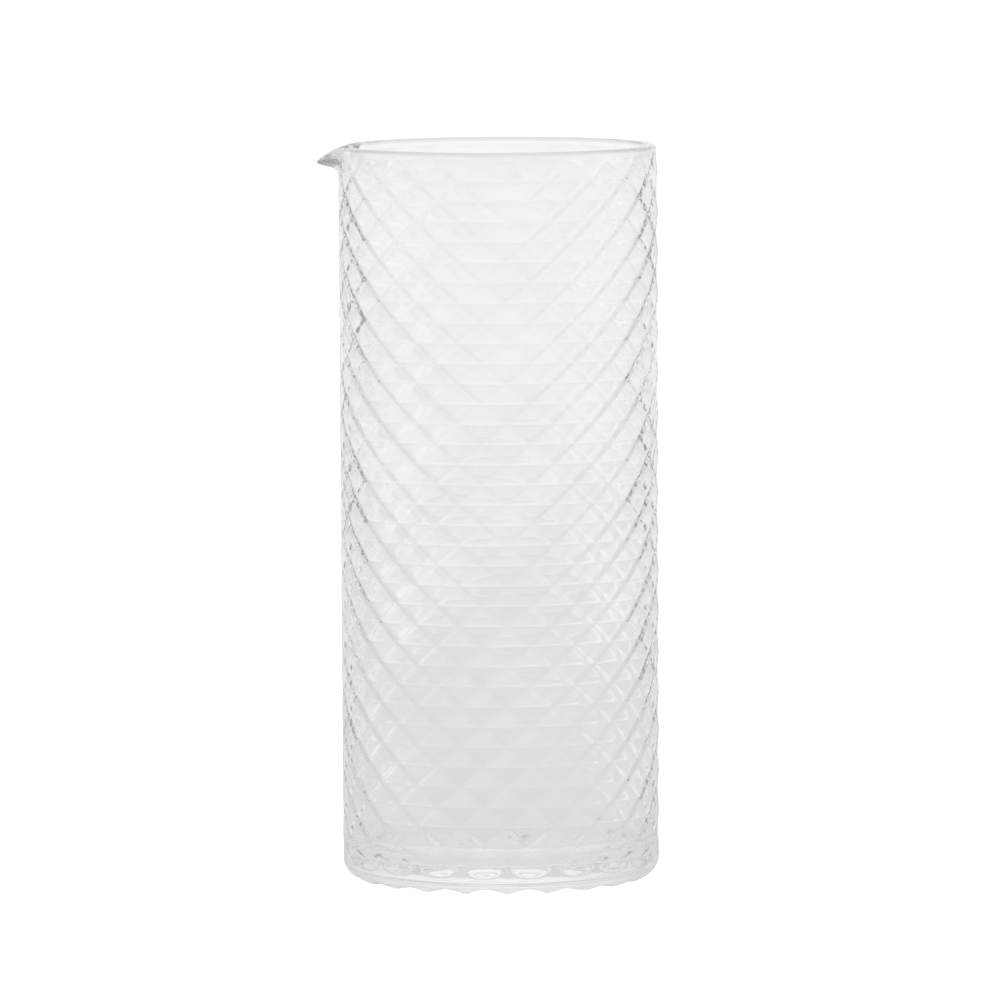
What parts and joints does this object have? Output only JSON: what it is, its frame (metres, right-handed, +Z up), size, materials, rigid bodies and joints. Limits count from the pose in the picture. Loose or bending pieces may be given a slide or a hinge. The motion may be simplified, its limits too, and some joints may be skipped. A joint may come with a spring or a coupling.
{
  "type": "mixing glass",
  "caption": "Tall straight-sided bar mixing glass in clear moulded glass, with a net of flat triangular facets, a fluted base and a small drooping pouring beak at the rim.",
  "frame": {"origin": "centre of the standing face, on the axis of the bore", "axes": "+Z up along the axis of the bore, -X towards the pouring beak, XZ plane is the plane of symmetry"},
  "size_m": [0.0909, 0.085, 0.196],
  "materials": {
    "clear_glass": "clear, fire-polished"
  },
  "bodies": {
    "root": {"glass_vessel": "clear_glass"}
  },
  "joints": []
}
